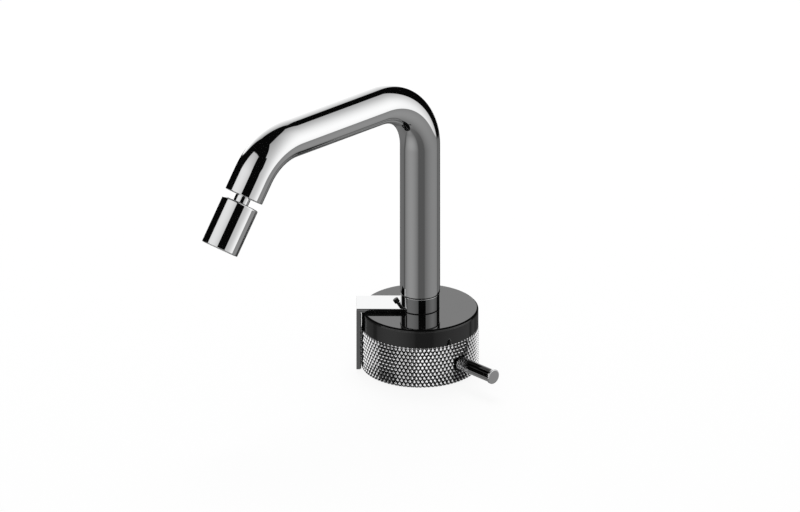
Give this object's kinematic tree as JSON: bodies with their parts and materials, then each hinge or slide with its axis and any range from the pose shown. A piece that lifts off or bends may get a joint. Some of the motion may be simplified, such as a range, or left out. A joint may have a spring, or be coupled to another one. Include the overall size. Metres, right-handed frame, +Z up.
{
  "type": "bidet mixer",
  "caption": "Deck-mounted bidet mixer: knurled temperature ring with a rod, dark cap with a flow strap, bent round swivel spout and a ball-jointed aerator.",
  "frame": {"origin": "on the deck, where the axis of the round body meets the underside of the base gasket", "axes": "+Z up along the body axis, the spout points along -Y, the temperature rod points along +X"},
  "size_m": [0.0823, 0.1723, 0.16],
  "materials": {
    "chrome": "polished",
    "knurled_chrome": "polished, diamond knurl",
    "dark_cap": "gloss black",
    "brass": "machined",
    "steel": "plain",
    "rubber": "matte black",
    "white_plastic": "matte",
    "black_plastic": "matte",
    "green_plastic": "gloss",
    "ceramic": "lapped ceramic"
  },
  "bodies": {
    "base": {"base_body": "brass", "base_gasket": "rubber", "port_seals": "rubber", "port_disc": "ceramic", "centre_post": "brass", "post_seals": "rubber", "thrust_washer": "black_plastic", "neck_nut": "chrome", "slip_ring": "black_plastic"},
    "temperature_ring": {"knurled_ring": "knurled_chrome", "ring_drive": "brass", "ring_screws": "steel", "drive_seal": "rubber", "mixing_disc": "ceramic", "rod": "chrome", "rod_head": "chrome"},
    "flow_lever": {"cap_shell": "dark_cap", "top_plate": "dark_cap", "strap": "chrome", "strap_screws": "steel", "strap_stud": "dark_cap", "flow_sleeve": "brass", "sleeve_seal": "rubber", "glide_ring": "black_plastic"},
    "spout": {"spout_tube": "chrome", "spout_foot": "brass", "spout_screw": "steel", "nozzle_plug": "chrome"},
    "ball_stem": {"ball_stem": "chrome", "stem_clip": "steel", "stem_seal": "rubber"},
    "aerator": {"aerator_housing": "chrome", "seat_ring": "white_plastic", "clamp_ring": "brass", "aerator_washer": "rubber", "strainer": "steel", "flow_regulator": "green_plastic", "aerator_insert": "white_plastic"}
  },
  "joints": [
    {"name": "temperature_turn", "type": "hinge", "parent": "base", "child": "temperature_ring", "pos_m": [0, 0, 0.011], "axis": [0, 0, 1], "range_deg": [-45, 45]},
    {"name": "flow_turn", "type": "hinge", "parent": "base", "child": "flow_lever", "pos_m": [0, 0, 0.027], "axis": [0, 0, 1], "range_deg": [-47, 43]},
    {"name": "spout_swivel", "type": "hinge", "parent": "base", "child": "spout", "pos_m": [0, 0, 0.0405], "axis": [0, 0, 1], "range_deg": [-90, 90]},
    {"name": "aerator_turn", "type": "hinge", "parent": "spout", "child": "ball_stem", "pos_m": [0, -0.12431, 0.11996], "axis": [0, 0.5688, 0.8224], "continuous": true},
    {"name": "aerator_tilt", "type": "hinge", "parent": "ball_stem", "child": "aerator", "pos_m": [0, -0.12431, 0.11996], "axis": [1, 0, 0], "range_deg": [-15, 15]}
  ]
}
